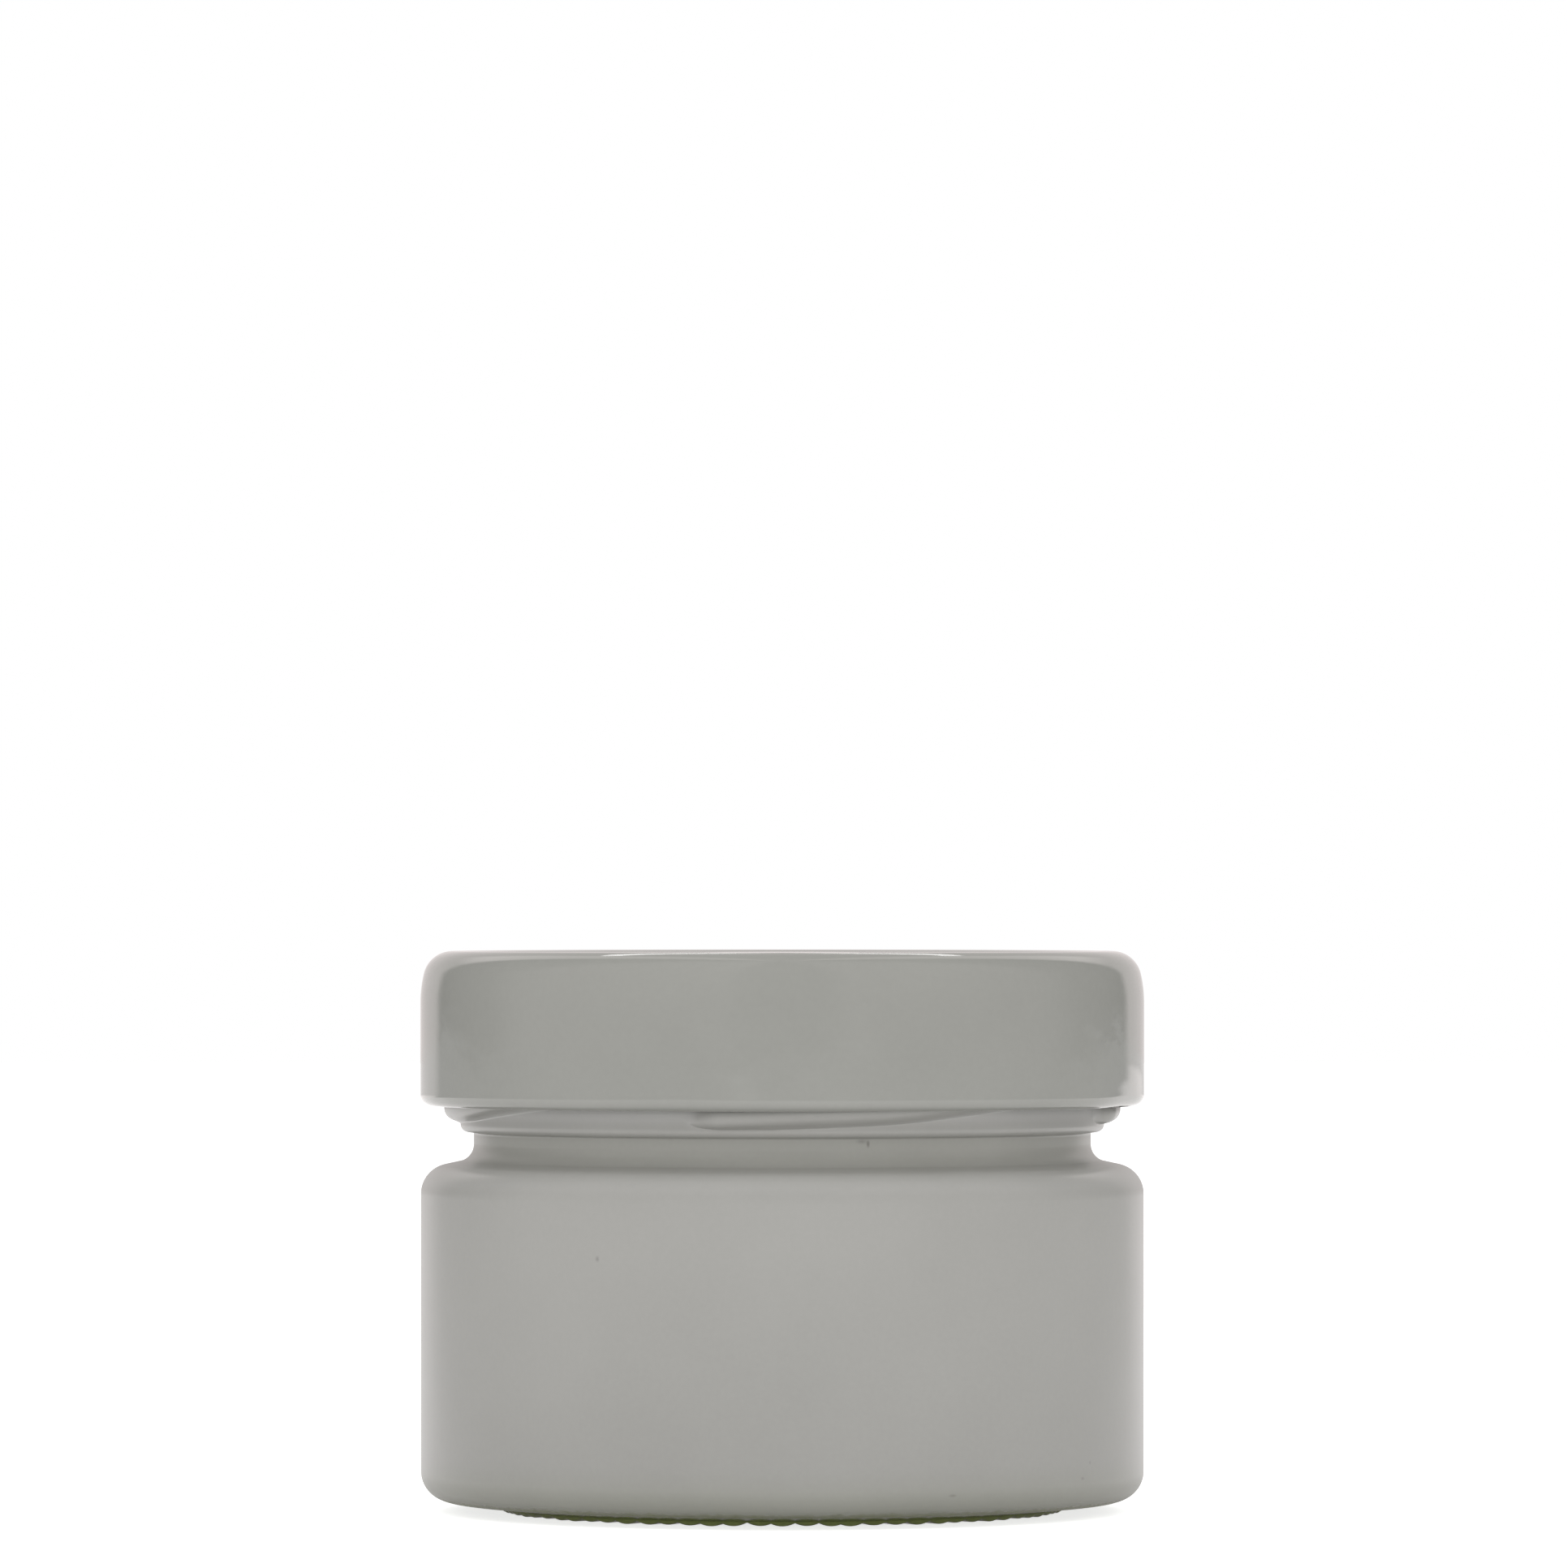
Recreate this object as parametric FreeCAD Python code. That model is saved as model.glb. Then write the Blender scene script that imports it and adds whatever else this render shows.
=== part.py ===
import FreeCAD, Part
import math
import os

# A low, wide glass jar with a deep twist-off metal lid, screwed shut.
# The jar stands on a knurled foot ring. Z is up and the origin is the middle of the foot.
# Angles go round from the front (-Y) towards +X.

# ---- finish: the glass wall that carries the thread ----
finish_radius = 32.55
finish_edge_radius = 0.75    # lower edge of the finish, where it overhangs the neck
rim_radius = 0.9             # outer edge of the rim at the top

# ---- neck and shoulder ----
neck_step = 1.35             # finish beyond the neck
neck_straight = 1.23         # plain neck between its fillet and the finish
neck_fillet = 1.8
step_fillet = 0.25           # inner corner under the finish
shoulder_corner_radius = 3.0
shoulder_slope = 12.0        # degrees

# ---- body ----
body_height = 32.1           # height at which the wall starts to turn into the shoulder
body_inset = 0.05            # the body is this much slimmer than the lid
heel_radius = 3.0            # rounding where the wall turns under
heel_height = 1.1            # underside of the heel above the table
heel_slope = 7.0             # degrees, fall of the underside towards the foot

# ---- foot ring ----
foot_inset = 8.15            # foot ring in from the body's wall
foot_width = 3.0
foot_core_inset = 0.4        # plain glass behind the knurls, in from their ends
foot_core_height = 0.42      # bottom of that plain glass
foot_overlap = 0.6           # how far the knurled ring runs up into the heel
push_up = 1.9                # rise of the middle of the base
push_up_flat = 6.0           # radius of the level middle of the base
knurl_pitch = 2.35           # middle of one knurl to the next, on average
knurl_radius = 2.5           # roundness of one knurl
knurl_uneven_pitch = 0.17    # share by which the widths differ
knurl_uneven_depth = 0.07    # by which the depths differ

# ---- thread: four short starts ----
thread_starts = 4
thread_nose_radius = 1.2
thread_reach = 1.65          # crest beyond the finish wall
thread_end_height = 2.06     # middle of the lower end above the step
thread_floor = 0.75          # lowest that the thread's flank comes above the step
thread_flank = 1.75          # fall of the lower flank below the middle
thread_top = 1.5             # rise of the upper flank above the middle
thread_root = 0.6            # how deep the thread is rooted in the finish wall
thread_slow_lead = 7.0       # rise of one whole turn, near the lower end
thread_slow_span = 34.0      # degrees of that slow rise
thread_lead = 21.1           # rise of one whole turn from there on
thread_ease = 4.0            # degrees over which the one turns into the other
thread_first_angle = -14.0   # lower end of the front thread
thread_span = 89.0
thread_sections = 15

# ---- lid ----
sheet = 0.22                 # tinplate
lid_height = 15.6
lid_corner_radius = 2.95
lid_ease_radius = 13.0       # slow curve from the corner into the skirt
lid_ease_angle = 13.0        # degrees of that curve
curl_radius = 1.1
curl_clearance = 0.2         # between the thread's crest and the curl
panel_inset = 7.4            # edge of the sunk panel in from the skirt
panel_drop = 0.25
panel_step_radius = 3.5      # gentle step down to the panel
button_radius = 11.0
button_flat = 4.0            # radius of the button's level top
button_rise = 0.15
lug_width = 12.0             # degrees
lug_before_thread = 7.0      # degrees from a lug's middle to the next lower end
lug_reach = 1.0              # lug in from the curl
lug_height = 1.3
lug_clearance = 0.1          # between a lug and the thread above it


def thread_rise(along):
    """Height that a thread has gained at so many degrees from its lower end."""
    past = along - thread_slow_span
    quick = (past + math.hypot(past, thread_ease)) / 2
    return (thread_slow_lead * along + (thread_lead - thread_slow_lead) * quick) / 360.0


# ---- worked out: radii ----
neck_radius = finish_radius - neck_step
thread_crest = finish_radius + thread_reach
curl_middle = thread_crest + curl_clearance + curl_radius
lid_radius = curl_middle + curl_radius
panel_radius = lid_radius - panel_inset
body_radius = lid_radius - body_inset
foot_radius = body_radius - foot_inset
foot_inside = foot_radius - foot_width
knurl_count = round(2 * math.pi * foot_radius / knurl_pitch)

# ---- worked out: centres of the round corners, as radius and height ----
slope = math.radians(shoulder_slope)
heel = (body_radius - heel_radius, heel_height + heel_radius)
shoulder_corner = (body_radius - shoulder_corner_radius, body_height)
neck_corner_radius = neck_radius + neck_fillet
across = (neck_corner_radius - shoulder_corner[0]) * math.sin(slope)
neck_corner_rise = (neck_fillet + shoulder_corner_radius - across) / math.cos(slope)
neck_corner = (neck_corner_radius, body_height + neck_corner_rise)

# ---- worked out: heights ----
finish_underside = neck_corner[1] + neck_straight
lug_from_end = 360.0 / thread_starts - lug_before_thread - lug_width / 2
thread_over_lug = thread_end_height + thread_rise(lug_from_end) - thread_nose_radius
lid_bottom = finish_underside + thread_over_lug - lug_height - lug_clearance
lid_top = lid_bottom + lid_height
panel_top = lid_top - panel_drop
rim_height = panel_top - sheet
curl = (curl_middle, lid_bottom + curl_radius)


def turn(radius, height, angle):
    """The point at this radius and height, turned round the axis from the front."""
    a = math.radians(angle)
    return FreeCAD.Vector(radius * math.sin(a), -radius * math.cos(a), height)


def flat(radius, height):
    """A point of a profile, in the XZ plane."""
    return FreeCAD.Vector(radius, 0, height)


def on_circle(middle, radius, angle):
    """A point of a profile on a circle, at an angle up from straight out."""
    a = math.radians(angle)
    return flat(middle[0] + radius * math.cos(a), middle[1] + radius * math.sin(a))


def line(start, end):
    return Part.LineSegment(start, end).toShape()


def arc(middle, radius, first, last):
    """An arc of a profile from one angle to the other, either way round."""
    half = (first + last) / 2
    ends = [on_circle(middle, radius, a) for a in (first, half, last)]
    return Part.Arc(*ends).toShape()


def ends_of(piece):
    """First and last point of a profile piece, in the direction that it runs."""
    ends = [piece.valueAt(piece.FirstParameter), piece.valueAt(piece.LastParameter)]
    return ends if piece.Orientation == "Forward" else ends[::-1]


def dome(flat_radius, edge_radius, edge_height, rise, depth=0.0):
    """A level middle that curves down to an edge, as two profile pieces from the axis out."""
    reach = edge_radius - flat_radius
    radius = (reach ** 2 + rise ** 2) / (2 * rise)
    middle = (flat_radius, edge_height + rise - radius)
    edge_angle = math.degrees(math.acos(reach / radius))
    top = edge_height + rise - depth
    level = line(flat(0, top), flat(flat_radius, top))
    return [level, arc(middle, radius - depth, 90, edge_angle)]


def chain(pieces, closing=()):
    """Joins profile pieces in order with straight lines, then closes over any further points."""
    edges = []
    last = None
    for piece in pieces:
        start, end = ends_of(piece)
        if last is not None and (start - last).Length > 1e-6:
            edges.append(line(last, start))
        edges.append(piece)
        last = end
    for point in list(closing) + [ends_of(pieces[0])[0]]:
        edges.append(line(last, point))
        last = point
    return Part.Face(Part.Wire(edges))


def spin(face):
    return face.revolve(FreeCAD.Vector(), FreeCAD.Vector(0, 0, 1), 360)


def jar_blank():
    """Body, shoulder, neck and finish as one turned solid."""
    step = (neck_radius + step_fillet, finish_underside - step_fillet)
    edge = (finish_radius - finish_edge_radius, finish_underside + finish_edge_radius)
    rim = (finish_radius - rim_radius, rim_height - rim_radius)
    core_out = foot_radius - foot_core_inset
    core_in = foot_inside + foot_core_inset
    heel_end = on_circle(heel, heel_radius, -90 - heel_slope)
    fall = math.tan(math.radians(heel_slope)) * (heel_end.x - core_out)
    pieces = dome(push_up_flat, core_in, foot_core_height, push_up)
    pieces.append(line(flat(core_in, foot_core_height), flat(core_out, foot_core_height)))
    pieces.append(line(flat(core_out, foot_core_height), flat(core_out, heel_end.z - fall)))
    pieces.append(arc(heel, heel_radius, -90 - heel_slope, 0))
    pieces.append(arc(shoulder_corner, shoulder_corner_radius, 0, 90 - shoulder_slope))
    pieces.append(arc(neck_corner, neck_fillet, 270 - shoulder_slope, 180))
    pieces.append(arc(step, step_fillet, 180, 90))
    pieces.append(arc(edge, finish_edge_radius, -90, 0))
    pieces.append(arc(rim, rim_radius, 0, 90))
    return spin(chain(pieces, [flat(0, rim_height)]))


def knurl_angles():
    """Where the knurls lie: an uneven pitch that still closes after one turn."""
    steps = []
    for i in range(knurl_count):
        wave = 0.6 * math.sin(2.4 * i) + 0.4 * math.sin(5.1 * i + 1.0)
        steps.append(1 + knurl_uneven_pitch * wave)
    scale = 360.0 / sum(steps)
    angles = [0.0]
    for step in steps[:-1]:
        angles.append(angles[-1] + step * scale)
    return angles


def knurl_ring():
    """Foot ring of rounded radial bars, the deepest of them touching the table."""
    bars = []
    for i, angle in enumerate(knurl_angles()):
        lift = knurl_uneven_depth * (1 + math.sin(1.7 * i)) / 2
        start = turn(foot_inside - knurl_radius, knurl_radius + lift, angle)
        length = foot_width + 2 * knurl_radius
        bars.append(Part.makeCylinder(knurl_radius, length, start, turn(1, 0, angle)))
    ring_top = foot_core_height + foot_overlap
    ring = Part.makeCylinder(foot_radius, ring_top).cut(Part.makeCylinder(foot_inside, ring_top))
    return bars[0].multiFuse(bars[1:]).common(ring)


def touch_point(middle, radius, point, side):
    """Where a line from a point touches a circle, on the lower (-1) or upper (1) side."""
    away = math.hypot(point[0] - middle[0], point[1] - middle[1])
    toward = math.atan2(point[1] - middle[1], point[0] - middle[0])
    spread = math.acos(min(1.0, radius / away))
    return toward - side * spread


def thread_section(step):
    """Closed outline of one start at a share of its length, placed in the world."""
    along = thread_span * step
    height = finish_underside + thread_end_height + thread_rise(along)
    middle = (thread_crest - thread_nose_radius, height)
    low = max(height - thread_flank, finish_underside + thread_floor)
    low_point = (finish_radius - thread_root, low)
    high_point = (finish_radius - thread_root, height + thread_top)
    low_angle = touch_point(middle, thread_nose_radius, low_point, -1)
    high_angle = touch_point(middle, thread_nose_radius, high_point, 1)
    if low_angle > 0:
        low_angle -= 2 * math.pi
    corners = [low_point]
    for a in (low_angle, (low_angle + high_angle) / 2, high_angle):
        corners.append((middle[0] + thread_nose_radius * math.cos(a),
                        middle[1] + thread_nose_radius * math.sin(a)))
    corners.append(high_point)
    p = [turn(radius, level, thread_first_angle + along) for radius, level in corners]
    nose = Part.Arc(p[1], p[2], p[3]).toShape()
    return Part.Wire([line(p[0], p[1]), nose, line(p[3], p[4]), line(p[4], p[0])])


def thread():
    wires = [thread_section(i / (thread_sections - 1)) for i in range(thread_sections)]
    return Part.makeLoft(wires, True, False)


def around(shape, count):
    """Copies of a shape, evenly turned about the axis."""
    copies = []
    for i in range(count):
        copy = shape.copy()
        copy.rotate(FreeCAD.Vector(), FreeCAD.Vector(0, 0, 1), i * 360.0 / count)
        copies.append(copy)
    return copies


def make_jar():
    jar = jar_blank().fuse(around(thread(), thread_starts))
    return jar.fuse(knurl_ring())


def lid_shell():
    """Panel, skirt and inward curl, turned from one folded strip of sheet."""
    ease_height = ((lid_ease_radius - lid_corner_radius) * math.sin(math.radians(lid_ease_angle))
                   + lid_corner_radius)
    ease = (lid_radius - lid_ease_radius, lid_top - ease_height)
    corner_point = on_circle(ease, lid_ease_radius - lid_corner_radius, lid_ease_angle)
    corner = (corner_point.x, corner_point.z)
    step_out = (panel_radius + panel_step_radius, lid_top - panel_step_radius)
    step_turn = math.degrees(math.acos(1 - panel_drop / (2 * panel_step_radius)))
    step_in = (step_out[0] - 2 * panel_step_radius * math.sin(math.radians(step_turn)),
               panel_top + panel_step_radius)

    def strip(depth):
        """One face of the strip: the outer one, or the inner one a sheet deeper."""
        pieces = dome(button_flat, button_radius, panel_top, button_rise, depth)
        pieces.append(arc(step_in, panel_step_radius + depth, -90, -90 + step_turn))
        pieces.append(arc(step_out, panel_step_radius - depth, 90 + step_turn, 90))
        pieces.append(arc(corner, lid_corner_radius - depth, 90, lid_ease_angle))
        pieces.append(arc(ease, lid_ease_radius - depth, lid_ease_angle, 0))
        pieces.append(arc(curl, curl_radius - depth, 0, -270))
        return pieces

    inner_back = [piece.reversed() for piece in reversed(strip(sheet))]
    return spin(chain(strip(0) + inner_back))


def lug():
    """One pressed tongue of the curl that grips under a thread."""
    round_end = lug_height / 2
    nose = (curl_middle - curl_radius - lug_reach + round_end, lid_bottom + round_end)
    back = [flat(curl_middle, lid_bottom + lug_height), flat(curl_middle, lid_bottom)]
    face = chain([arc(nose, round_end, -90, -270)], back)
    start = thread_first_angle - lug_before_thread - lug_width / 2
    face.rotate(FreeCAD.Vector(), FreeCAD.Vector(0, 0, 1), start - 90)
    return face.revolve(FreeCAD.Vector(), FreeCAD.Vector(0, 0, 1), lug_width)


def make_lid():
    return lid_shell().fuse(around(lug(), thread_starts))


def save(shape, name):
    solid = shape.removeSplitter().Solids[0]
    print(name, "solids", len(shape.Solids), "valid", solid.isValid(), "volume", round(solid.Volume, 1))
    solid.exportStep("parts/" + name + ".step")


os.makedirs("parts", exist_ok=True)
save(make_jar(), "jar")
save(make_lid(), "lid")
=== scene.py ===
import bpy
import math
import numpy as np
from mathutils import Matrix, Vector


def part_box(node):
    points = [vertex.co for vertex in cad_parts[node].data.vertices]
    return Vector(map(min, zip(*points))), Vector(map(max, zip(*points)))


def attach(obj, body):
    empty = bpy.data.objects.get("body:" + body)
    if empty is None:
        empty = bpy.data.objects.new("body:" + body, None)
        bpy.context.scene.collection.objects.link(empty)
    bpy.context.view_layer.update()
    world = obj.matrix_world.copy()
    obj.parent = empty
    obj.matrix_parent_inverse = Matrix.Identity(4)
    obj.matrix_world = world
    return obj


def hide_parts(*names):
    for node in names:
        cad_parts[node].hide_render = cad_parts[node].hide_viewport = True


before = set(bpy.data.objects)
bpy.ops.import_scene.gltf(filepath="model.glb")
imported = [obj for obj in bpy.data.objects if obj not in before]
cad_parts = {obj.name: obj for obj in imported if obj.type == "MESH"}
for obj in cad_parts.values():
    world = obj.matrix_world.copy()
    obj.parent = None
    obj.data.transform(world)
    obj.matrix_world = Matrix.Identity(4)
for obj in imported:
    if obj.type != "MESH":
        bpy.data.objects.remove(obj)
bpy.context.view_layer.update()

# A closed twist-off jar: grey lacquer over glass, a deep enamelled tin lid, a bare glass foot.
# Sizes of the jar and its finish are in millimetres, those of the stage in metres.
# Angles are in degrees and go round from the front (-Y) towards +X.

MM = 0.001

jar_low, jar_high = (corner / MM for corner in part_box("jar"))
lid_low, lid_high = (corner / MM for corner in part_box("lid"))

# ---- sizes read from the frame ----
body_radius = jar_high.x
lid_radius = lid_high.x
lid_bottom = lid_low.z
lid_top = lid_high.z
rim_height = jar_high.z

# ---- sizes of the round corners and steps ----
heel_radius = 3.0
heel_height = 1.1
heel_slope = 7.0             # degrees, fall of the heel's underside towards the foot
shoulder_height = 32.1       # where the wall starts to turn into the shoulder
shoulder_radius = 3.0
shoulder_slope = 12.0        # degrees
finish_radius = 32.55
finish_edge = 0.75           # rounding of the finish where it overhangs the neck
neck_step = 1.35             # finish beyond the neck
neck_radius = finish_radius - neck_step
neck_fillet = 1.8
neck_straight = 1.23
step_fillet = 0.25
rim_radius = 0.9

foot_radius = body_radius - 8.15
foot_width = 3.0
foot_edge = 0.45             # rounding of the foot ring's two edges
push_up = 1.9                # rise of the middle of the base
push_up_flat = 6.0           # radius of the level middle of the base
knurl_count = 76
knurl_round = 2.5            # roundness of one knurl
knurl_uneven_pitch = 0.17    # share by which the widths differ
knurl_uneven_depth = 0.07    # by which the depths differ
knurl_fade_top = 0.44        # the knurls end at this height
knurl_fade = 0.14            # and reach their full depth this far below it
knurl_margin = 0.1           # points this near the foot ring belong to it too
samples_per_knurl = 10

starts = 4                   # threads round the finish, and lugs round the lid
thread_reach = 1.65          # crest beyond the finish wall
thread_nose = 1.2            # roundness of the crest
thread_end_height = 2.06     # middle of the lower end above the finish's underside
thread_floor = 0.8           # lowest that the flank comes above that underside
thread_flank = 1.5           # fall of the lower flank below the middle
thread_flank_reach = 0.92
thread_flank_slope = 2.4
thread_top = 1.5             # rise of the upper flank above the middle
thread_top_slope = 1.4
thread_slow_lead = 7.0       # rise of one whole turn, near the lower end
thread_slow_span = 34.0      # degrees of that slow rise
thread_lead = 21.1           # rise of one whole turn from there on
thread_ease = 4.0            # degrees over which the one turns into the other
thread_first_angle = -14.0   # lower end of the front thread
thread_span = 89.0
thread_blunt = 7.0           # degrees over which the lower end swells to its full reach
thread_end_round = 7.0       # degrees over which its lower half swells to its full height
thread_end_least = 0.02      # share of that length at which the rounding starts
thread_fade = 3.0            # degrees over which the hidden upper end fades out

sheet = 0.22                 # tinplate
lid_corner = 2.95
lid_ease = 13.0              # radius of the slow curve from the corner into the skirt
lid_ease_angle = 13.0        # degrees of that curve
curl_radius = 1.1
panel_radius = lid_radius - 7.4
panel_drop = 0.25
panel_step = 3.5             # radius of the gentle step down to the panel
button_radius = 11.0
button_flat = 4.0            # radius of the button's level top
button_rise = 0.15
lid_segments = 480
lug_angle = thread_first_angle - 7.0
lug_half_width = 8.5
lug_reach = 0.95
press_angle = lug_angle + 4.0
press_half_width = 16.0
press_depths = (0.1, 0.43, 0.43, 0.43)    # dents above the lugs, from the front one on
press_height = 4.2

# ---- spacing of the points along the profiles ----
jar_spacing = 1.6
lid_spacing = 0.9
end_spacing = 0.12           # between the end of a straight run and the point next to it
shortest_run = 0.3           # straight runs shorter than this get no points
dome_steps = 12
thread_fine = 0.09           # between points of the wall where the thread shows
thread_fine_above = 1.6      # up to this far above the lid's lower edge
thread_coarse = 0.3          # between points of the wall behind the lid
thread_wall_top = 8.2        # up to this far above the finish's underside
same_point = 0.00001         # points nearer than this are one
seam = 0.01                  # points nearer than this count as on the same wall


# ================= profiles =================

def arc(middle, radius, first, last, step):
    """Points along an arc of a profile, ends included, at most so many degrees apart."""
    count = max(2, math.ceil(abs(last - first) / step) + 1)
    a = np.radians(np.linspace(first, last, count))
    return np.column_stack([middle[0] + radius * np.cos(a), middle[1] + radius * np.sin(a)])


def bridge(start, end, spacing):
    """Points strictly between two profile points, with one close to each end."""
    length = np.hypot(*(end - start))
    if length < shortest_run:
        return np.empty((0, 2))
    count = max(2, math.ceil((length - 2 * end_spacing) / spacing) + 1)
    share = np.linspace(end_spacing, length - end_spacing, count) / length
    return start + share[:, None] * (end - start)


def outline(pieces, spacing):
    """Joins profile pieces with straight runs into one list of points, none of them twice."""
    points = [pieces[0]]
    for piece in pieces[1:]:
        points.append(bridge(points[-1][-1], piece[0], spacing))
        points.append(piece)
    joined = np.vstack(points)
    keep = np.ones(len(joined), bool)
    keep[1:] = np.hypot(*np.diff(joined, axis=0).T) > same_point
    return joined[keep]


def dome(flat_radius, edge_radius, edge_height, rise, depth=0.0):
    """A level middle that curves down to an edge, from the axis out, so deep under the surface."""
    reach = edge_radius - flat_radius
    radius = (reach ** 2 + rise ** 2) / (2 * rise)
    edge_angle = math.degrees(math.acos(reach / radius))
    middle = (flat_radius, edge_height + rise - radius)
    centre = np.array([[0.0, edge_height + rise - depth]])
    return [centre, arc(middle, radius - depth, 90, edge_angle, step=(90 - edge_angle) / dome_steps)]


def jar_outline():
    """The jar's profile from the middle of the base to that of the rim, and the finish's underside."""
    slope = math.radians(shoulder_slope)
    heel = (body_radius - heel_radius, heel_height + heel_radius)
    shoulder = (body_radius - shoulder_radius, shoulder_height)
    across = (neck_radius + neck_fillet - shoulder[0]) * math.sin(slope)
    neck = (neck_radius + neck_fillet,
            shoulder[1] + (neck_fillet + shoulder_radius - across) / math.cos(slope))
    underside = neck[1] + neck_straight
    foot_in = foot_radius - foot_width
    step = (neck_radius + step_fillet, underside - step_fillet)
    edge = (finish_radius - finish_edge, underside + finish_edge)
    rim = (finish_radius - rim_radius, rim_height - rim_radius)
    heel_arc = arc(heel, heel_radius, -90 - heel_slope, 0, step=5)
    fall = math.tan(math.radians(heel_slope)) * (heel_arc[0][0] - foot_radius)
    pieces = dome(push_up_flat, foot_in, foot_edge, push_up)
    pieces.append(arc((foot_in + foot_edge, foot_edge), foot_edge, 180, 270, step=11))
    pieces.append(arc((foot_radius - foot_edge, foot_edge), foot_edge, -90, 0, step=9))
    pieces.append(np.array([[foot_radius, heel_arc[0][1] - fall]]))
    pieces.append(heel_arc)
    pieces.append(arc(shoulder, shoulder_radius, 0, 90 - shoulder_slope, step=5))
    pieces.append(arc(neck, neck_fillet, 270 - shoulder_slope, 180, step=7))
    pieces.append(arc(step, step_fillet, 180, 90, step=18))
    pieces.append(arc(edge, finish_edge, -90, 0, step=9))
    fine = np.arange(edge[1] + thread_fine, lid_bottom + thread_fine_above, thread_fine)
    coarse = np.arange(fine[-1] + thread_coarse, underside + thread_wall_top, thread_coarse)
    heights = np.concatenate([fine, coarse])
    pieces.append(np.column_stack([np.full(len(heights), finish_radius), heights]))
    pieces.append(arc(rim, rim_radius, 0, 90, step=15))
    pieces.append(np.array([[0.0, rim_height]]))
    return outline(pieces, jar_spacing), underside


# ================= meshes =================

def turned_mesh(name, radii, heights, angles):
    """A closed skin from rows of radii and heights, one row a ring, with a pole at each end."""
    a = np.radians(angles)
    rows, columns = radii.shape
    ring_x = radii[1:-1] * np.sin(a)
    ring_y = -radii[1:-1] * np.cos(a)
    rings = np.stack([ring_x, ring_y, heights[1:-1]], axis=-1).reshape(-1, 3)
    poles = np.array([[0, 0, heights[0].mean()], [0, 0, heights[-1].mean()]])
    verts = np.vstack([rings, poles]) * MM
    first_pole, last_pole = len(rings), len(rings) + 1
    here = np.arange(columns)
    after = np.roll(here, -1)
    faces = [(first_pole, int(j), int(i)) for i, j in zip(here, after)]
    for row in range(rows - 3):
        low, high = row * columns, (row + 1) * columns
        faces += [(low + i, low + j, high + j, high + i) for i, j in zip(here.tolist(), after.tolist())]
    last = (rows - 3) * columns
    faces += [(last + int(i), last + int(j), last_pole) for i, j in zip(here, after)]
    mesh = bpy.data.meshes.new(name)
    mesh.from_pydata(verts.tolist(), [], faces)
    mesh.validate()
    mesh.shade_smooth()
    piece = bpy.data.objects.new(name, mesh)
    bpy.context.scene.collection.objects.link(piece)
    return piece


def wrap(angle):
    """An angle brought to between -180 and 180."""
    return (angle + 180.0) % 360.0 - 180.0


def smooth_step(x):
    """An S-curve from 0 to 1 over that same stretch, flat beyond it."""
    x = np.clip(x, 0.0, 1.0)
    return x * x * (3 - 2 * x)


def knurls():
    """Angle of each knurl and its lift off the table, the same uneven row as in the solid."""
    i = np.arange(knurl_count)
    wave = 0.6 * np.sin(2.4 * i) + 0.4 * np.sin(5.1 * i + 1.0)
    steps = 1 + knurl_uneven_pitch * wave
    angles = np.concatenate([[0.0], np.cumsum(steps)[:-1]]) * 360.0 / steps.sum()
    lifts = knurl_uneven_depth * (1 + np.sin(1.7 * i)) / 2
    return angles, lifts


def ring_samples():
    """Angles round the jar, so many to a knurl, with one in every valley, and the foot's lift there."""
    middles, lifts = knurls()
    next_middles = np.append(middles[1:], middles[0] + 360)
    next_lifts = np.roll(lifts, -1)
    length = math.radians(1) * (foot_radius - foot_width / 2)
    pitch = (next_middles - middles) * length
    valleys = middles + (pitch / 2 + knurl_round * (next_lifts - lifts) / pitch) / length
    before = np.roll(valleys, 1)
    before[0] -= 360
    angles, amounts = [], []
    for start, end, middle, lift in zip(before, valleys, middles, lifts):
        a = np.linspace(start, end, samples_per_knurl, endpoint=False)
        x = (a - middle) * length
        angles.append(a)
        amounts.append(lift + knurl_round - np.sqrt(knurl_round ** 2 - x ** 2))
    return np.concatenate(angles), np.concatenate(amounts)


def thread_height(angle, height, underside):
    """How far the four threads stand out of the finish wall at each angle and height."""
    total = np.zeros(np.broadcast(angle, height).shape)
    nose_out = thread_reach - thread_nose
    for start in range(starts):
        middle_angle = thread_first_angle + 360.0 / starts * start + thread_span / 2
        along = wrap(angle - middle_angle) + thread_span / 2
        from_end = along + thread_blunt / 2
        inside = smooth_step(from_end / thread_blunt) * smooth_step((thread_span - along) / thread_fade)
        end = np.clip(from_end / thread_end_round, thread_end_least, 1)
        end = np.sqrt(end * (2 - end))
        along = np.clip(along, 0, thread_span)
        quick = (along - thread_slow_span + np.hypot(along - thread_slow_span, thread_ease)) / 2
        rise = (thread_slow_lead * along + (thread_lead - thread_slow_lead) * quick) / 360
        middle = underside + thread_end_height + rise
        low = np.maximum(middle - thread_flank, underside + thread_floor)
        low = middle + (low - middle) * end
        off = height - middle
        off = np.where(off < 0, off / end, off)
        nose = nose_out + np.sqrt(np.clip(thread_nose ** 2 - off ** 2, 0, None))
        nose = np.where(np.abs(off) < thread_nose, nose, 0)
        lower = (height - low) * thread_flank_slope
        upper = (middle + thread_top - height) * thread_top_slope
        flank = np.clip(np.minimum(lower, upper), 0, thread_flank_reach)
        total = np.maximum(total, inside * np.maximum(nose, flank))
    return total


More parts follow.
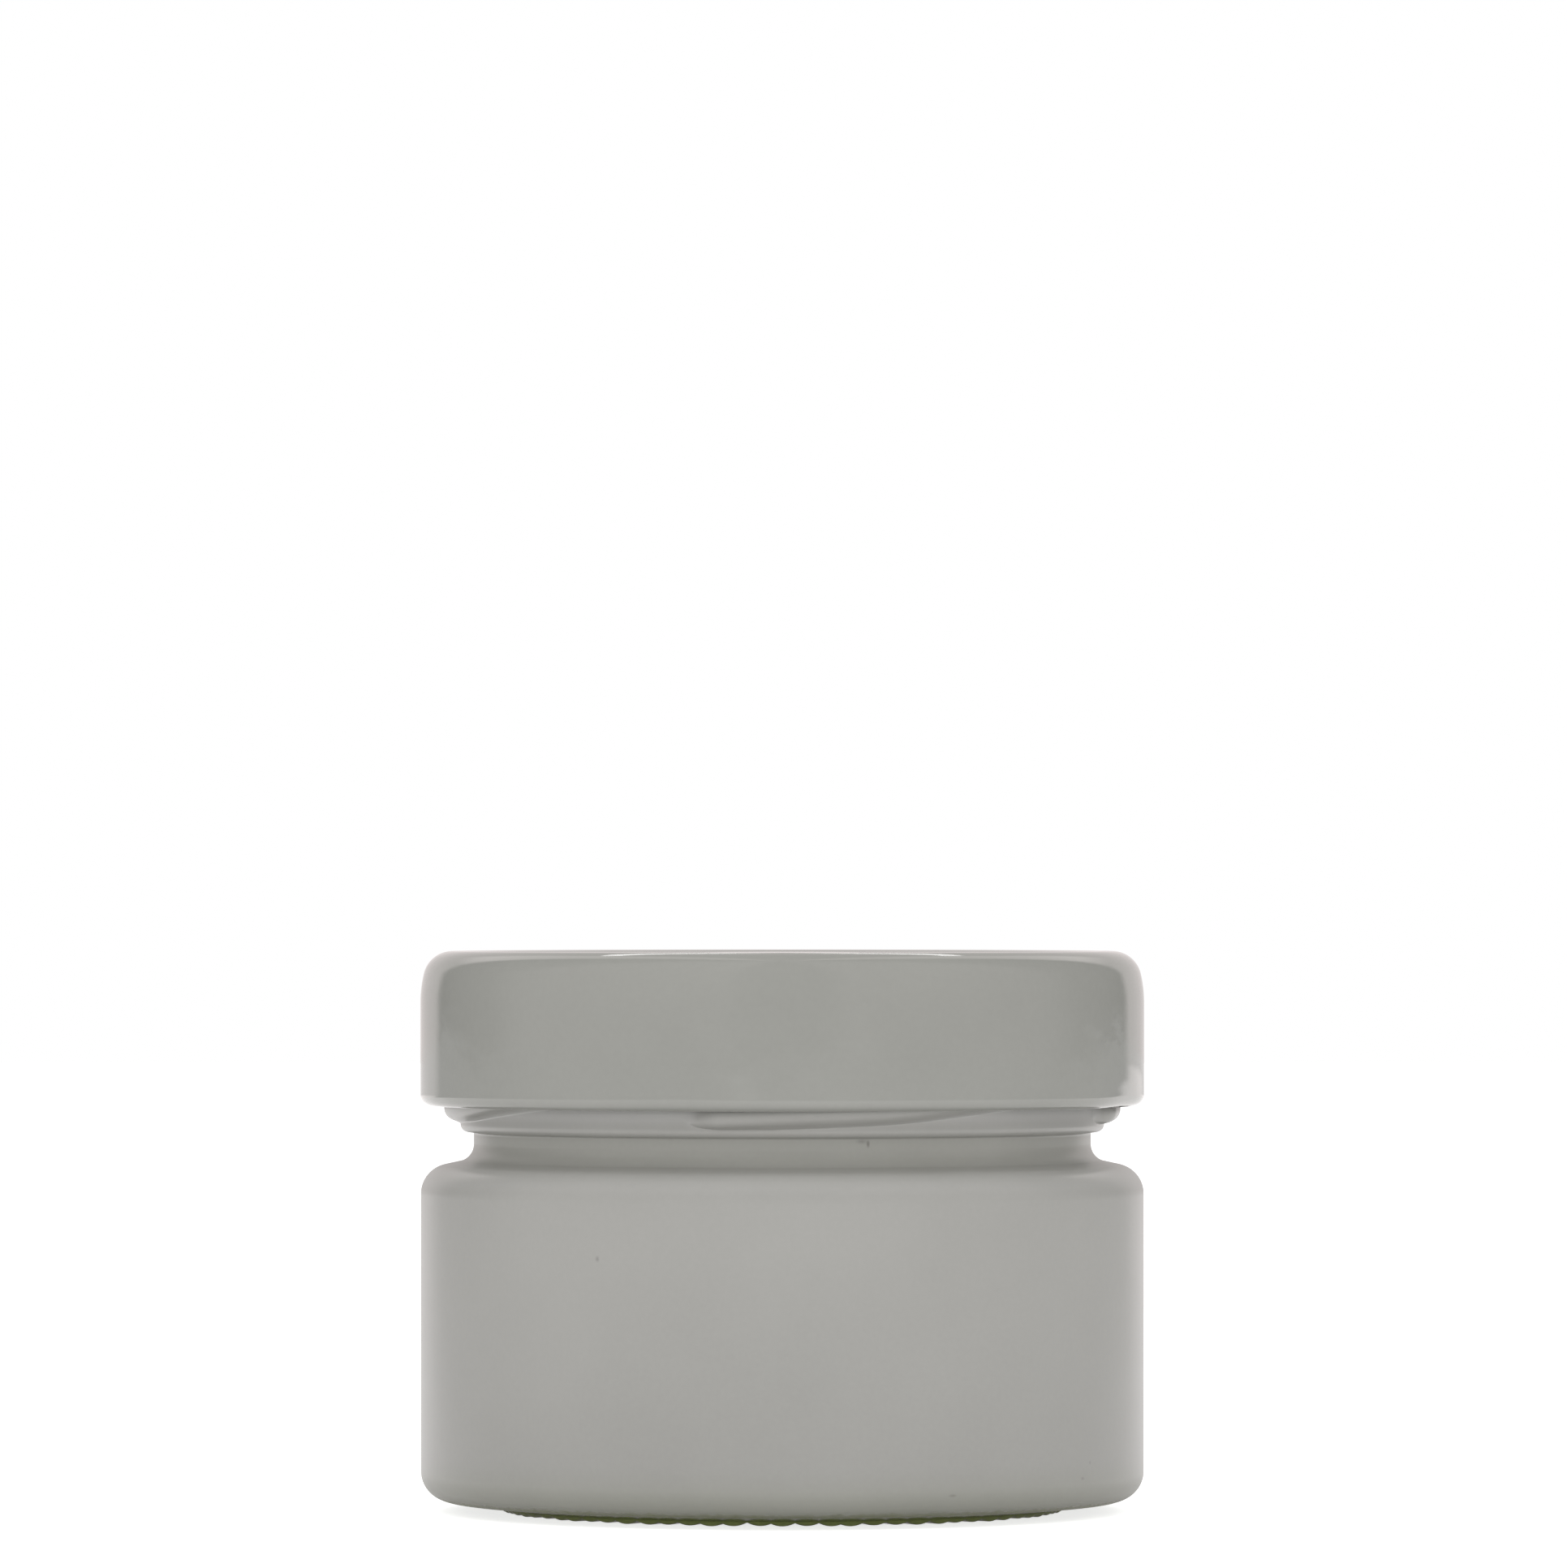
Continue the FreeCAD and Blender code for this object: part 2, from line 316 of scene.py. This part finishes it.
def make_jar():
    """The turned jar, with its knurls cut up into the foot and its threads raised from the wall."""
    points, underside = jar_outline()
    angles, amounts = ring_samples()
    radii = np.repeat(points[:, :1], len(angles), axis=1)
    heights = np.repeat(points[:, 1:], len(angles), axis=1)
    along = np.gradient(points, axis=0)
    facing_down = along[:, 0] / np.hypot(*along.T)
    foot_in = foot_radius - foot_width
    on_foot = (points[:, 0] > foot_in - knurl_margin) & (points[:, 0] < foot_radius + knurl_margin)
    weight = np.clip((knurl_fade_top - points[:, 1]) / knurl_fade, 0, 1) * on_foot
    heights += (weight * facing_down)[:, None] * amounts
    on_wall = np.abs(points[:, 0] - finish_radius) < seam
    on_wall &= points[:, 1] > underside + finish_edge - seam
    on_wall &= points[:, 1] < rim_height - rim_radius - seam
    radii[on_wall] += thread_height(angles[None, :], heights[on_wall], underside)
    return turned_mesh("jar_glass", radii, heights, angles)


def lid_strip(depth):
    """Profile so deep within the lid's sheet, from the middle of the panel to the end of the curl."""
    ease_turn = math.radians(lid_ease_angle)
    ease = (lid_radius - lid_ease, lid_top - (lid_ease - lid_corner) * math.sin(ease_turn) - lid_corner)
    corner = (ease[0] + (lid_ease - lid_corner) * math.cos(ease_turn),
              ease[1] + (lid_ease - lid_corner) * math.sin(ease_turn))
    step_out = (panel_radius + panel_step, lid_top - panel_step)
    step_turn = math.degrees(math.acos(1 - panel_drop / (2 * panel_step)))
    panel_top = lid_top - panel_drop
    step_in = (step_out[0] - 2 * panel_step * math.sin(math.radians(step_turn)), panel_top + panel_step)
    curl = (lid_radius - curl_radius, lid_bottom + curl_radius)
    pieces = dome(button_flat, button_radius, panel_top, button_rise, depth)
    pieces.append(arc(step_in, panel_step + depth, -90, -90 + step_turn, step=8))
    pieces.append(arc(step_out, panel_step - depth, 90 + step_turn, 90, step=8))
    pieces.append(arc(corner, lid_corner - depth, 90, lid_ease_angle, step=3.5))
    pieces.append(arc(ease, lid_ease - depth, lid_ease_angle, 0, step=1.3))
    pieces.append(arc(curl, curl_radius - depth, 0, -270, step=9))
    return outline(pieces, lid_spacing)


def make_lid():
    """The turned lid of thin sheet, with its lugs drawn in from the curl and the dents above them."""
    points = np.vstack([lid_strip(0), lid_strip(sheet)[::-1]])
    angles = np.linspace(0, 360, lid_segments, endpoint=False)
    radii = np.repeat(points[:, :1], lid_segments, axis=1)
    heights = np.repeat(points[:, 1:], lid_segments, axis=1)
    curl_middle = lid_radius - curl_radius
    skirt = points[:, 0] > curl_middle
    rise = smooth_step(1 - (points[:, 1] - lid_bottom) / press_height)
    low = points[:, 1] < lid_bottom + 2 * curl_radius + seam
    near = np.clip((curl_middle - points[:, 0]) / curl_radius, 0, 1)
    for start in range(starts):
        turned = angles - 360.0 / starts * start
        press = 1 - smooth_step(np.abs(wrap(turned - press_angle)) / press_half_width)
        radii -= press_depths[start] * (rise * skirt)[:, None] * press
        lug = 1 - smooth_step(np.abs(wrap(turned - lug_angle)) / lug_half_width)
        radii -= lug_reach * (near * low)[:, None] * lug
    return turned_mesh("lid_shell", radii, heights, angles)


# ================= materials =================

class Nodes:
    """A node tree, with short calls that add a node, link its inputs and give its output."""

    def __init__(self, tree):
        self.tree = tree
        self.tree.nodes.clear()

    def add(self, kind, **values):
        node = self.tree.nodes.new(kind)
        for key, value in values.items():
            setattr(node, key, value)
        return node

    def feed(self, socket, value):
        """Links a socket to an output, or sets it to a number, a vector or a colour."""
        if isinstance(value, bpy.types.NodeSocket):
            self.tree.links.new(value, socket)
        elif socket.type == "RGBA":
            socket.default_value = (*value, 1)
        else:
            socket.default_value = value

    def surface(self, shader, kind="ShaderNodeOutputMaterial"):
        self.feed(self.add(kind).inputs["Surface"], shader)

    def place(self):
        return self.add("ShaderNodeTexCoord").outputs["Object"]

    def axes(self, vector):
        node = self.add("ShaderNodeSeparateXYZ")
        self.feed(node.inputs["Vector"], vector)
        return node.outputs["X"], node.outputs["Y"], node.outputs["Z"]

    def noise(self, place, scale, detail=3.0):
        node = self.add("ShaderNodeTexNoise")
        self.feed(node.inputs["Vector"], place)
        self.feed(node.inputs["Scale"], scale)
        self.feed(node.inputs["Detail"], detail)
        return node.outputs["Fac"]

    def span(self, value, low_in, high_in, low_out=0.0, high_out=1.0, smooth=False):
        """Carries one stretch of numbers over to another, and stays level beyond both ends."""
        node = self.add("ShaderNodeMapRange", interpolation_type="SMOOTHSTEP" if smooth else "LINEAR")
        self.feed(node.inputs["Value"], value)
        self.feed(node.inputs["From Min"], low_in)
        self.feed(node.inputs["From Max"], high_in)
        self.feed(node.inputs["To Min"], low_out)
        self.feed(node.inputs["To Max"], high_out)
        return node.outputs["Result"]

    def maths(self, operation, *values):
        node = self.add("ShaderNodeMath", operation=operation)
        for socket, value in zip(node.inputs, values):
            self.feed(socket, value)
        return node.outputs["Value"]

    def vector(self, operation, *values):
        node = self.add("ShaderNodeVectorMath", operation=operation)
        for socket, value in zip(node.inputs, values):
            self.feed(socket, value)
        return node.outputs["Value" if operation == "LENGTH" else "Vector"]

    def mix(self, share, first, second):
        """A number between two others, by a share from 0 to 1."""
        node = self.add("ShaderNodeMix", data_type="FLOAT")
        self.feed(node.inputs["Factor"], share)
        self.feed(node.inputs[2], first)
        self.feed(node.inputs[3], second)
        return node.outputs[0]

    def blend(self, share, first, second):
        """A colour between two others, by a share from 0 to 1."""
        node = self.add("ShaderNodeMix", data_type="RGBA")
        self.feed(node.inputs["Factor"], share)
        self.feed(node.inputs[6], first)
        self.feed(node.inputs[7], second)
        return node.outputs[2]

    def mottle(self, place, cloud_scale, grain_scale):
        """Soft clouds with a little fine grain in them, from 0 to 1."""
        cloud = self.span(self.noise(place, cloud_scale), *noise_range, 0, cloud_share)
        grain = self.span(self.noise(place, grain_scale, detail=2), *noise_range, 0, 1 - cloud_share)
        return self.maths("ADD", cloud, grain)

    def bump(self, height, distance, normal=None):
        node = self.add("ShaderNodeBump")
        self.feed(node.inputs["Height"], height)
        self.feed(node.inputs["Distance"], distance)
        if normal is not None:
            self.feed(node.inputs["Normal"], normal)
        return node.outputs["Normal"]

    def relief(self, place, waves, grain):
        """The slight waves of a coat with its fine grain on them, each a scale and a depth."""
        scale, depth = waves
        normal = self.bump(self.noise(place, scale, detail=2), depth * MM)
        scale, depth = grain
        return self.bump(self.noise(place, scale, detail=2), depth * MM, normal)

    def spot(self, place, angle, radius, height, width, tallness):
        """1 at a point of a turned wall, fading to 0 at half its width; it may be taller than wide."""
        a = math.radians(angle)
        point = Vector((radius * math.sin(a), -radius * math.cos(a), height)) * MM
        off = self.vector("MULTIPLY", self.vector("SUBTRACT", place, point), (1, 1, 1 / tallness))
        return self.span(self.vector("LENGTH", off), width * MM / 2, 0, smooth=True)


def linear(*srgb):
    """Linear colour from the 0 to 255 values it shows on a screen."""
    shares = [v / 255 for v in srgb]
    return tuple(v / 12.92 if v <= 0.04045 else ((v + 0.055) / 1.055) ** 2.4 for v in shares)


def new_material(name):
    """An empty node material and its tree."""
    material = bpy.data.materials.new(name)
    material.use_nodes = True
    return material, Nodes(material.node_tree)


noise_range = (0.3, 0.7)     # nearly all of a noise lies between these
noise_limits = (0.2, 0.8)
cloud_share = 0.7

# Finishes. Patterns are in cells to the metre, and each relief has a depth too.
enamel_tones = (linear(152, 152, 147), linear(157, 157, 152))
enamel_mottle = (70, 1500)
enamel_roughness = (0.035, 0.055)
enamel_smudges = 45
enamel_waves = (160, 0.02)
enamel_grain = (1300, 0.002)
lacquer_tones = (linear(161, 160, 156), linear(167, 166, 162))
lacquer_mottle = (55, 1900)
lacquer_roughness = (0.28, 0.32)
lacquer_smudges = 50
lacquer_waves = (120, 0.03)
lacquer_grain = (1700, 0.003)
glass_tones = (linear(88, 97, 42), linear(108, 117, 58))
glass_clouds = 240
# painted light: the paler green that the foot's lower knurls are painted
glass_painted_light_tone = linear(170, 182, 110)
glass_roughness = 0.14
mark_tone = linear(84, 82, 76)

# Where the lacquer changes, as heights and radii, and by how much; some of these changes are painted
# light and some painted shade.
# A pair says where a change sets in and where it is whole.
coat_height = (1.0, 1.75)
coat_ragged = 0.5            # by which the coat's edge wanders
coat_edge_cells = 700
coat_thin_and_heel_shade = 0.2              # low down the glass shows through a little, and this also paints the shade at the heel
coat_thin_and_heel_shade_height = (6.5, 1.2)
base_radius = (foot_radius - 0.9, foot_radius - 1.4)    # the base within the foot is bare glass
base_height = (11.0, 10.0)
glass_painted_light = 0.5            # painted light: the foot's glass is painted paler towards the table
glass_painted_light_height = (0.9, 0.3)
low_painted_shade = 0.1               # painted shade: the lacquer is painted darker towards the foot
low_painted_shade_height = (27.5, 5.0)
neck_green_and_shade = 0.09            # in the neck the glass shows through a little, and this also paints shade in the neck under the lid
neck_green_and_shade_low = (33.5, 36.0)
neck_green_and_shade_high = (38.5, 38.0)
finish_painted_light = 0.14          # painted light: the finish under the lid is painted lighter, against the shade there
finish_painted_light_radius = (33.2, 32.7)
finish_painted_light_height = (39.3, 40.4)
shoulder_painted_light = 0.07        # painted light: so is the shoulder's inner edge
shoulder_painted_light_low = (32.8, 34.5)
shoulder_painted_light_high = (36.2, 34.8)

# Small blemishes of the lacquer: angle, radius, height, width and tallness, then how dark.
marks = [
    ((-29.8, body_radius, 26.5, 0.65, 1.3), 0.35),
    ((27.3, body_radius - 0.1, 3.3, 1.3, 0.35), 0.35),
    ((15.7, neck_radius, 37.75, 0.5, 2.2), 0.6),
    ((14.5, neck_radius, 38.0, 1.7, 0.45), 0.3),
    ((54.6, body_radius, 4.4, 0.8, 0.6), 0.3),
    ((56.7, body_radius, 5.9, 0.5, 1.2), 0.25),
]


def enamel():
    """Glossy warm grey enamel baked on tinplate."""
    material, n = new_material("grey_enamel")
    place = n.place()
    shader = n.add("ShaderNodeBsdfPrincipled")
    n.feed(shader.inputs["Base Color"], n.blend(n.mottle(place, *enamel_mottle), *enamel_tones))
    smudges = n.noise(place, enamel_smudges, detail=4)
    n.feed(shader.inputs["Roughness"], n.span(smudges, *noise_range, *enamel_roughness))
    n.feed(shader.inputs["Normal"], n.relief(place, enamel_waves, enamel_grain))
    n.surface(shader.outputs["BSDF"])
    return material


def coat_cover(n, place, height, radius):
    """1 where lacquer covers the glass and 0 where the glass is bare, and how much glass shows through,
    which also paints shade at the heel and in the neck.
    """
    ragged = n.maths("SUBTRACT", n.noise(place, coat_edge_cells), 0.5)
    edge = n.maths("ADD", height, n.maths("MULTIPLY", ragged, coat_ragged))
    cover = n.span(edge, *coat_height, smooth=True)
    base = n.maths("MULTIPLY", n.span(radius, *base_radius), n.span(height, *base_height))
    cover = n.maths("MULTIPLY", cover, n.maths("SUBTRACT", 1.0, base))
    # glass showing through low down, which also paints the heel's shade
    thin = n.span(edge, *coat_thin_and_heel_shade_height, 0, coat_thin_and_heel_shade, smooth=True)
    # glass showing through in the neck, which also paints it darker as shade
    neck = n.maths("MULTIPLY", n.span(height, *neck_green_and_shade_low),
                   n.span(height, *neck_green_and_shade_high, 0, neck_green_and_shade))
    return cover, n.maths("ADD", thin, neck)


def lacquer_colour(n, place, height, radius):
    """Grey with painted shade that darkens it towards the foot, and painted light that lightens the two
    recesses.
    """
    grey = n.blend(n.mottle(place, *lacquer_mottle), *lacquer_tones)
    # painted shade: darker towards the foot
    grey = n.blend(n.span(height, *low_painted_shade_height, 0, low_painted_shade), grey, (0, 0, 0))
    # painted light: the finish under the lid and the shoulder's inner edge are blended towards white
    finish = n.maths("MULTIPLY", n.span(radius, *finish_painted_light_radius, 0, finish_painted_light),
                     n.span(height, *finish_painted_light_height, smooth=True))
    shoulder = n.maths("MULTIPLY", n.span(height, *shoulder_painted_light_low, 0, shoulder_painted_light),
                       n.span(height, *shoulder_painted_light_high))
    return n.blend(n.maths("ADD", finish, shoulder), grey, (1, 1, 1))


def lacquer():
    """Satin grey lacquer over glass, which stops at the foot and leaves it bare olive glass."""
    material, n = new_material("satin_lacquer")
    place = n.place()
    shader = n.add("ShaderNodeBsdfPrincipled")
    height = n.maths("DIVIDE", n.axes(place)[2], MM)
    radius = n.maths("DIVIDE", n.vector("LENGTH", n.vector("MULTIPLY", place, (1, 1, 0))), MM)
    cover, through = coat_cover(n, place, height, radius)
    glass = n.blend(n.noise(place, glass_clouds), *glass_tones)
    # painted light: the foot's glass paler towards the table
    glass_with_painted_light = n.blend(n.span(height, *glass_painted_light_height, 0, glass_painted_light), glass, glass_painted_light_tone)
    colour = n.blend(cover, glass_with_painted_light, n.blend(through, lacquer_colour(n, place, height, radius), glass))
    for mark, strength in marks:
        colour = n.blend(n.maths("MULTIPLY", n.spot(place, *mark), strength), colour, mark_tone)
    n.feed(shader.inputs["Base Color"], colour)
    satin = n.span(n.noise(place, lacquer_smudges, detail=4), *noise_limits, *lacquer_roughness)
    n.feed(shader.inputs["Roughness"], n.mix(cover, glass_roughness, satin))
    n.feed(shader.inputs["Normal"], n.relief(place, lacquer_waves, lacquer_grain))
    n.surface(shader.outputs["BSDF"])
    return material


# ================= stage, light and camera =================

eye_distance = 1.08
eye_height = 0.0615
frame_middle = 0.0735        # height at the middle of the picture, where the jar stands
frame_width = 0.1587         # width of the picture there
sideways = 0.00012
sensor = 36.0
nearest, farthest = 0.05, 20

floor_half = 3.0
floor_tone = 0.8             # the sheet that the jar stands on
floor_far_tone = 0.4         # the floor beyond it
floor_seen_near = 0.75       # glow of both, as the eye sees them
floor_seen_far = 0.85
sheet_radius = 0.45
sheet_fade = 0.1

# What mirrors see of the floor: dim under the heel, brighter on the sheet, then the screen's foot.
# The pairs are distances from the jar's axis.
heel_shade = (0.034, 0.065)
heel_dim = 0.2
sheet_mirrored = 0.45
far_shade = (1.0, 1.8)
far_mirrored = 0.48

# What mirrors see of the room: a white screen behind the jar, two brighter strips, a dim front.
screen_half = 34.0           # degrees to each side of straight behind
screen_soft = 8.0
screen_foot = 0.85
screen_rise = 0.1            # sine of the angle up to which the foot's brightness holds
screen_top = 0.3
screen_tint = (1.0, 0.93, 0.92)
strip_glow = 0.7
strip_turn = (13.0, 24.0)
strip_rise = (0.35, 0.55)
room_dark = 0.06
room_bright = 0.4
room_near = (10.0, 25.0)     # degrees from straight in front
room_aside = (110.0, 85.0)

# Light from all round: a little more from the horizon than from above.
dome_low = 1.19
dome_high = 0.91
dome_turn = 0.8

lamp_aim = (0, 0, 0.03)
front_place = (0, -1.5, 0.12)
front_size = (1.2, 0.24)
front_power = 4.2
over_place = (0.122, 0.76, 0.654)
over_along = (0.213, -0.262, 0.289)
over_size = (0.44, 0.035)
over_power = 0.15


def turn_from(n, side, ahead):
    """Degrees between a direction and the one straight ahead."""
    return n.maths("DEGREES", n.maths("ABSOLUTE", n.maths("ARCTAN2", side, ahead)))


def on_screen(n, side, back):
    """1 in the directions of the screen behind the jar, 0 elsewhere."""
    return n.span(turn_from(n, side, back), screen_half + screen_soft, screen_half, smooth=True)


def make_floor():
    """A white sheet that looks white and keeps the jar's soft shadow; mirrors see where it ends."""
    mesh = bpy.data.meshes.new("floor")
    corners = [(-floor_half, -floor_half, 0), (floor_half, -floor_half, 0),
               (floor_half, floor_half, 0), (-floor_half, floor_half, 0)]
    mesh.from_pydata(corners, [], [(0, 1, 2, 3)])
    floor = bpy.data.objects.new("floor", mesh)
    bpy.context.scene.collection.objects.link(floor)
    material, n = new_material("white_floor")
    place = n.place()
    side, back, _ = n.axes(place)
    away = n.vector("LENGTH", place)
    far = n.span(away, sheet_radius, sheet_radius + sheet_fade, smooth=True)
    matt = n.add("ShaderNodeBsdfDiffuse")
    n.feed(matt.inputs["Color"], n.mix(far, floor_tone, floor_far_tone))
    path = n.add("ShaderNodeLightPath")
    eye = path.outputs["Is Camera Ray"]
    mirror = n.maths("MAXIMUM", path.outputs["Is Glossy Ray"], path.outputs["Is Transmission Ray"])
    screen_glow = n.span(away, *far_shade, screen_foot, far_mirrored)
    screen = n.maths("MULTIPLY", on_screen(n, side, back), screen_glow)
    sheet_glow = n.span(away, *heel_shade, heel_dim, sheet_mirrored)
    mirrored = n.maths("MULTIPLY", mirror, n.mix(far, sheet_glow, screen))
    seen = n.mix(far, floor_seen_near, floor_seen_far)
    glow = n.add("ShaderNodeEmission")
    n.feed(glow.inputs["Strength"], n.mix(eye, mirrored, seen))
    n.feed(glow.inputs["Color"], n.blend(eye, screen_tint, (1, 1, 1)))
    both = n.add("ShaderNodeAddShader")
    n.feed(both.inputs[0], matt.outputs["BSDF"])
    n.feed(both.inputs[1], glow.outputs["Emission"])
    n.surface(both.outputs["Shader"])
    mesh.materials.append(material)


def make_world():
    """Even soft light all round; mirrors see the white screen in its dim room, and the eye sees white."""
    world = bpy.data.worlds.new("studio")
    bpy.context.scene.world = world
    world.use_nodes = True
    world.cycles.sampling_method = "NONE"
    n = Nodes(world.node_tree)
    side, back, up = n.axes(n.add("ShaderNodeTexCoord").outputs["Generated"])
    strip = n.maths("MULTIPLY", n.span(turn_from(n, side, back), *strip_turn, 0, strip_glow, smooth=True),
                    n.span(up, *strip_rise, smooth=True))
    screen = n.maths("ADD", n.span(up, screen_rise, 1, screen_foot, screen_top), strip)
    from_front = turn_from(n, side, n.maths("MULTIPLY", back, -1.0))
    lit = n.maths("MULTIPLY", n.span(from_front, *room_near, smooth=True),
                  n.span(from_front, *room_aside, smooth=True))
    room = n.span(lit, 0, 1, room_dark, room_bright)
    mirrored = n.mix(on_screen(n, side, back), room, screen)
    dome = n.span(up, 0, dome_turn, dome_low, dome_high)
    path = n.add("ShaderNodeLightPath")
    mirror = path.outputs["Is Glossy Ray"]
    level = n.mix(path.outputs["Is Camera Ray"], n.mix(mirror, dome, mirrored), 1.0)
    sky = n.add("ShaderNodeBackground")
    n.feed(sky.inputs["Color"], n.blend(mirror, (1, 1, 1), screen_tint))
    n.feed(sky.inputs["Strength"], level)
    n.surface(sky.outputs["Background"], "ShaderNodeOutputWorld")


def lamp(name, place, size, power, along=(1, 0, 0)):
    """A softbox that faces the jar, with its long side along a direction."""
    data = bpy.data.lights.new(name, "AREA")
    data.shape = "RECTANGLE"
    data.size, data.size_y = size
    data.energy = power
    box = bpy.data.objects.new(name, data)
    box.location = place
    back = (Vector(place) - Vector(lamp_aim)).normalized()
    up = back.cross(Vector(along)).normalized()
    box.rotation_euler = Matrix((up.cross(back), up, back)).transposed().to_euler()
    box.visible_camera = False
    bpy.context.scene.collection.objects.link(box)
    return box


def make_lights():
    """A wide lamp in front that mirrors don't show, and two narrow ones that glint on the lid's edge."""
    front = lamp("front", front_place, front_size, front_power)
    front.visible_glossy = False
    for name, side in (("over_left", -1), ("over_right", 1)):
        mirror = Vector((side, 1, 1))
        lamp(name, Vector(over_place) * mirror, over_size, over_power, Vector(over_along) * mirror)


def make_camera():
    """A long lens from in front, a little above the lid, that looks at the middle of the picture."""
    data = bpy.data.cameras.new("camera")
    camera = bpy.data.objects.new("camera", data)
    bpy.context.scene.collection.objects.link(camera)
    data.sensor_width = sensor
    data.lens = sensor * eye_distance / frame_width
    data.clip_start, data.clip_end = nearest, farthest
    camera.location = (sideways, -eye_distance, eye_height)
    pitch = math.atan2(frame_middle - eye_height, eye_distance)
    camera.rotation_euler = (math.radians(90) + pitch, 0, 0)
    bpy.context.scene.camera = camera


# ================= the scene =================

jar = make_jar()
jar.data.materials.append(lacquer())
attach(jar, "root")
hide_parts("jar")

lid = make_lid()
lid.data.materials.append(enamel())
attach(lid, "root")
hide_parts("lid")

make_floor()
make_world()
make_lights()
make_camera()
bpy.context.scene.view_settings.view_transform = "Standard"

bpy.context.view_layer.update()
